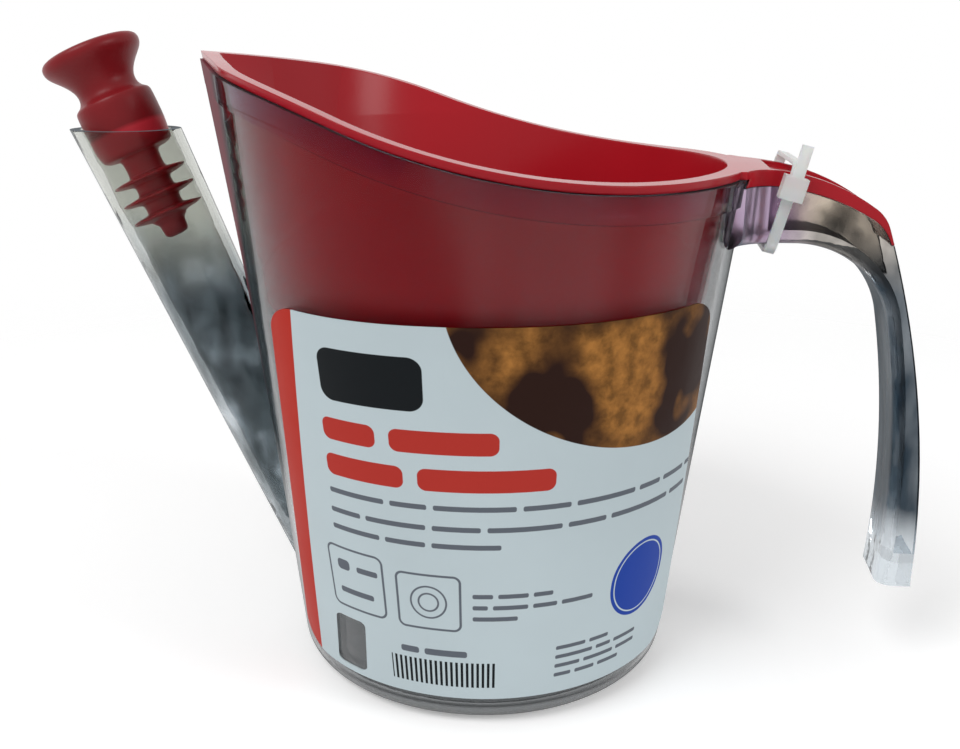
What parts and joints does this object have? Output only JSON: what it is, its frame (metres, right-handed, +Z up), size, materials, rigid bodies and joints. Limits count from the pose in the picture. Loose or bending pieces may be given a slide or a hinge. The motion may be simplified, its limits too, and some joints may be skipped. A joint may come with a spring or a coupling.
{
  "type": "gravy fat separator",
  "caption": "Clear tapered jug with a low leaning pouring spout, open-ended handle, lift-out strainer insert with a pointed lip, and a pull-out spout stopper.",
  "frame": {"origin": "centre of the jug's round foot, on the table", "axes": "+X towards the handle, -X towards the spout and the pointed lip, +Y away from the label, +Z up"},
  "size_m": [0.1898, 0.111, 0.1352],
  "materials": {
    "clear_plastic": "clear, polished",
    "insert_plastic": "gloss deep red",
    "stopper_rubber": "satin red",
    "label_film": "printed film",
    "tie_nylon": "natural nylon"
  },
  "bodies": {
    "jug": {"jug_shell": "clear_plastic", "spout_tube": "clear_plastic", "handle": "clear_plastic", "label": "label_film", "cable_tie": "tie_nylon"},
    "strainer": {"strainer_insert": "insert_plastic"},
    "stopper": {"spout_stopper": "stopper_rubber"}
  },
  "joints": [
    {"name": "strainer_lift", "type": "slide", "parent": "jug", "child": "strainer", "axis": [0, 0, 1], "range_m": [0, 0.07], "deforming": ["cable_tie"]},
    {"name": "stopper_pull", "type": "slide", "parent": "jug", "child": "stopper", "axis": [-0.3955, 0, 0.9184], "range_m": [0, 0.04]}
  ]
}
